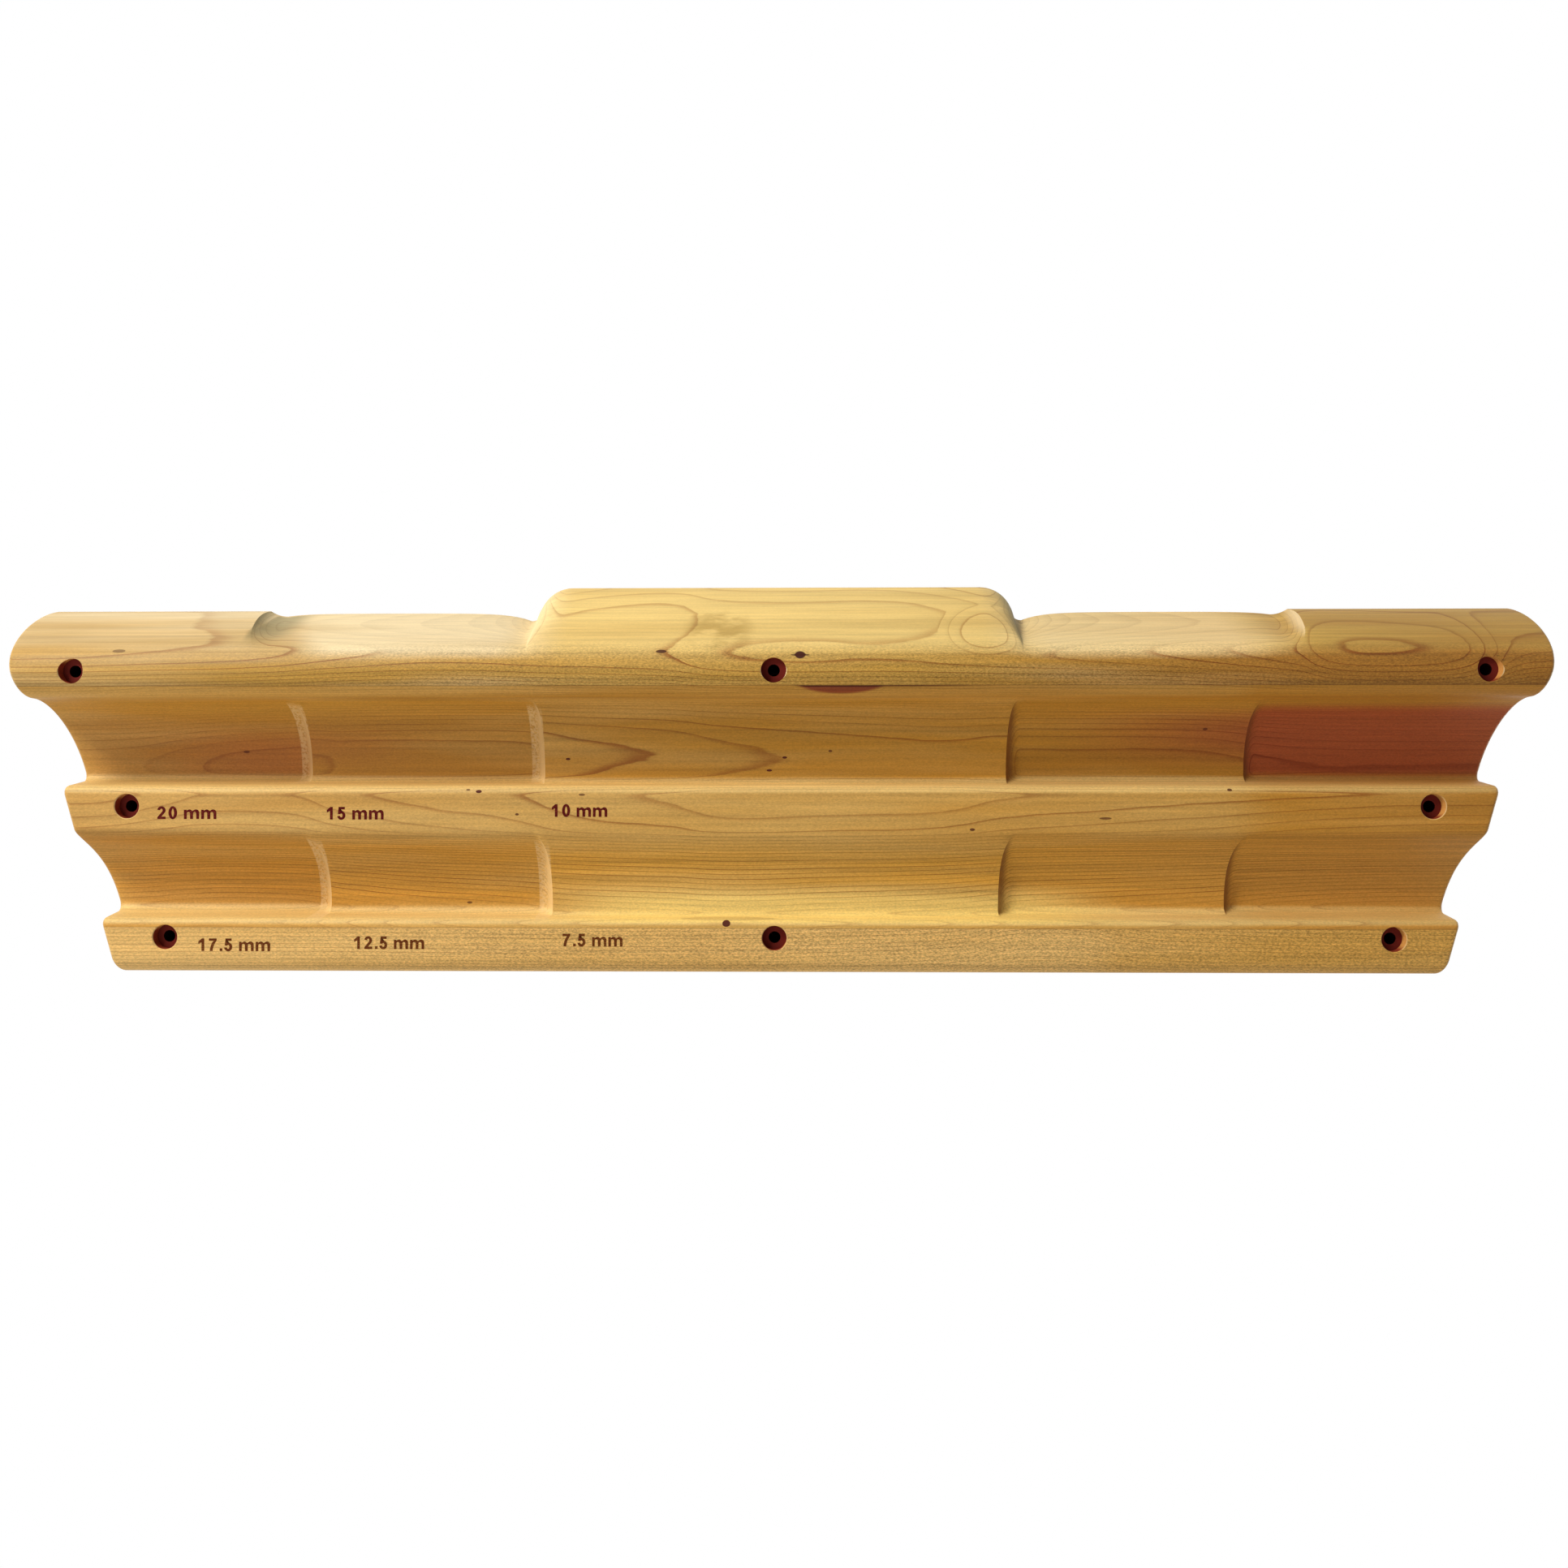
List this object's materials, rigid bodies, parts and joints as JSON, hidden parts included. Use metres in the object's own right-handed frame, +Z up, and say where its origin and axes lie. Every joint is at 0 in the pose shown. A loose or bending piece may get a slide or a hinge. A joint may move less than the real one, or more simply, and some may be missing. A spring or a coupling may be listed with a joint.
{
  "type": "hangboard",
  "caption": "Wooden finger training board with stepped finger edges, rounded and flat slopers and counterbored holes for wall screws.",
  "frame": {"origin": "middle of the flat back face, at the height of the middle pair of screw holes", "axes": "+X along the board to the right as seen from the front, +Y out of the back face into the wall, +Z up"},
  "size_m": [0.7294, 0.0455, 0.1885],
  "materials": {
    "top_wood": "satin, lightly oiled pale hardwood",
    "centre_wood": "satin, lightly oiled golden hardwood",
    "bottom_wood": "satin, lightly oiled golden hardwood with a speckled figure"
  },
  "bodies": {
    "root": {"top_stave": "top_wood", "centre_stave": "centre_wood", "bottom_stave": "bottom_wood"}
  },
  "joints": []
}
